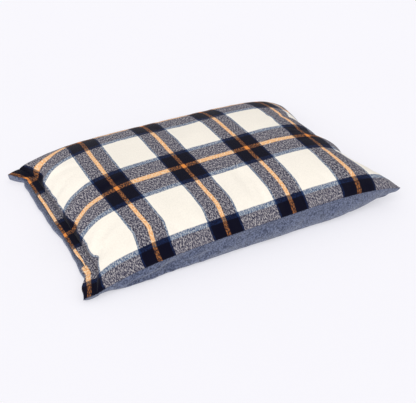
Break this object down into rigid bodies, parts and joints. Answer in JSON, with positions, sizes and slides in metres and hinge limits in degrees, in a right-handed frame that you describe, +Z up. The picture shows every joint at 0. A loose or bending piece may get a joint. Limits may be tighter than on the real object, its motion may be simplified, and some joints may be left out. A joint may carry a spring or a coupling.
{
  "type": "pet cushion bed",
  "caption": "Rectangular pillow-style pet bed: plaid top, plain marl underside, stuffed inner cushion and a zip under a flap at one short end.",
  "frame": {"origin": "centre of the part's box, on the floor", "axes": "+X along the bed, away from the zip end; +Y across the bed, towards the end of the zip where it is closed; +Z up"},
  "size_m": [0.9563, 0.6332, 0.1476],
  "materials": {
    "plaid": "brushed cotton plaid twill in ecru, navy, blue and orange",
    "blue_marl": "soft blue-grey marl",
    "thread": "navy polyester thread",
    "zip_tape": "woven navy tape",
    "zip_coil": "nylon coil",
    "zip_metal": "nickel-plated",
    "label": "blank satin ribbon",
    "lining": "plain white lining",
    "fibre": "hollow polyester fibre"
  },
  "bodies": {
    "cushion": {"top_panel": "plaid", "bottom_panel": "blue_marl", "front_seam_thread": "thread", "back_seam_thread": "thread", "end_seam_thread": "thread", "zip_tape_upper": "zip_tape", "zip_tape_lower": "zip_tape", "zip_coil_upper": "zip_coil", "zip_coil_lower": "zip_coil", "zip_top_stop_upper": "zip_metal", "zip_top_stop_lower": "zip_metal", "zip_bottom_stop": "zip_metal", "care_label": "label", "inner_case_top": "lining", "inner_case_bottom": "lining", "fibre_fill": "fibre"},
    "flap": {"zip_flap": "plaid", "flap_thread": "thread"},
    "slider": {"zip_slider": "zip_metal"},
    "pull_tab": {"zip_pull_tab": "zip_metal"}
  },
  "joints": [
    {"name": "flap_fold", "type": "hinge", "parent": "cushion", "child": "flap", "pos_m": [-0.4061, 0, 0.0322], "axis": [0, 1, 0], "range_deg": [0, 90]},
    {"name": "zip_travel", "type": "slide", "parent": "cushion", "child": "slider", "axis": [0, -1, 0], "range_m": [0, 0.425], "deforming": ["zip_coil_upper", "zip_coil_lower"]},
    {"name": "tab_swing", "type": "hinge", "parent": "slider", "child": "pull_tab", "pos_m": [-0.4232, 0.208, 0.02], "axis": [0, 0, -1], "range_deg": [0, 165]}
  ]
}
